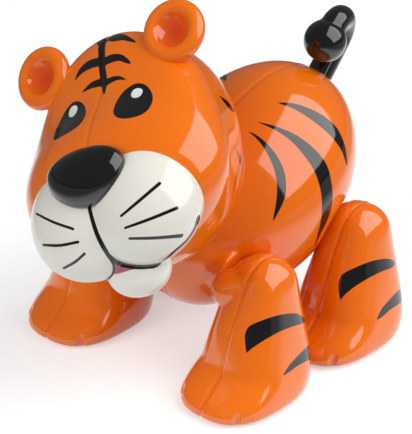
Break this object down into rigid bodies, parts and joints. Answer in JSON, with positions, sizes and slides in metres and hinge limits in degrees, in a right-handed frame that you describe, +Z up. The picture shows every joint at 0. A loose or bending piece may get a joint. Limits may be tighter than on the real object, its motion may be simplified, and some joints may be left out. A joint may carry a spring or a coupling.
{
  "type": "toy tiger",
  "caption": "Chunky moulded plastic toy tiger that stands on its paws, with a head that turns, legs that swing at the hip and a hooked tail that turns.",
  "frame": {"origin": "on the floor, under the middle of the object's box", "axes": "+Z up, -Y the way the body faces, +X the tiger's left side"},
  "size_m": [0.086, 0.1214, 0.1053],
  "materials": {
    "orange_plastic": "glossy moulded",
    "black_plastic": "glossy moulded",
    "white_plastic": "glossy moulded",
    "nylon": "natural",
    "steel": "zinc plated"
  },
  "bodies": {
    "trunk": {"body_left": "orange_plastic", "body_right": "orange_plastic", "neck_post": "orange_plastic", "neck_washer": "nylon", "neck_screw": "steel"},
    "head": {"head_left": "orange_plastic", "head_right": "orange_plastic", "muzzle": "white_plastic", "nose": "black_plastic", "ear_left": "orange_plastic", "ear_right": "orange_plastic"},
    "front_left_leg": {"front_left_outer": "orange_plastic", "front_left_inner": "orange_plastic", "front_left_washer": "nylon", "front_left_screw": "steel"},
    "front_right_leg": {"front_right_outer": "orange_plastic", "front_right_inner": "orange_plastic", "front_right_washer": "nylon", "front_right_screw": "steel"},
    "rear_left_leg": {"rear_left_outer": "orange_plastic", "rear_left_inner": "orange_plastic", "rear_left_washer": "nylon", "rear_left_screw": "steel"},
    "rear_right_leg": {"rear_right_outer": "orange_plastic", "rear_right_inner": "orange_plastic", "rear_right_washer": "nylon", "rear_right_screw": "steel"},
    "tail": {"tail": "black_plastic", "tail_washer": "nylon", "tail_screw": "steel"}
  },
  "joints": [
    {"name": "head_turn", "type": "hinge", "parent": "trunk", "child": "head", "pos_m": [0, -0.02085, 0.0624], "axis": [0, -0.8192, 0.5736], "range_deg": [-126, 54]},
    {"name": "front_left_swing", "type": "hinge", "parent": "trunk", "child": "front_left_leg", "pos_m": [0, -0.00695, 0.0305], "axis": [1, 0, 0], "range_deg": [-45, 3]},
    {"name": "front_right_swing", "type": "hinge", "parent": "trunk", "child": "front_right_leg", "pos_m": [0, -0.00695, 0.0305], "axis": [1, 0, 0], "range_deg": [-45, 3]},
    {"name": "rear_left_swing", "type": "hinge", "parent": "trunk", "child": "rear_left_leg", "pos_m": [0, 0.03215, 0.0305], "axis": [1, 0, 0], "range_deg": [-3, 45]},
    {"name": "rear_right_swing", "type": "hinge", "parent": "trunk", "child": "rear_right_leg", "pos_m": [0, 0.03215, 0.0305], "axis": [1, 0, 0], "range_deg": [-3, 45]},
    {"name": "tail_turn", "type": "hinge", "parent": "trunk", "child": "tail", "pos_m": [0, 0.04821, 0.06275], "axis": [0, 0.6691, 0.7431], "continuous": true}
  ]
}
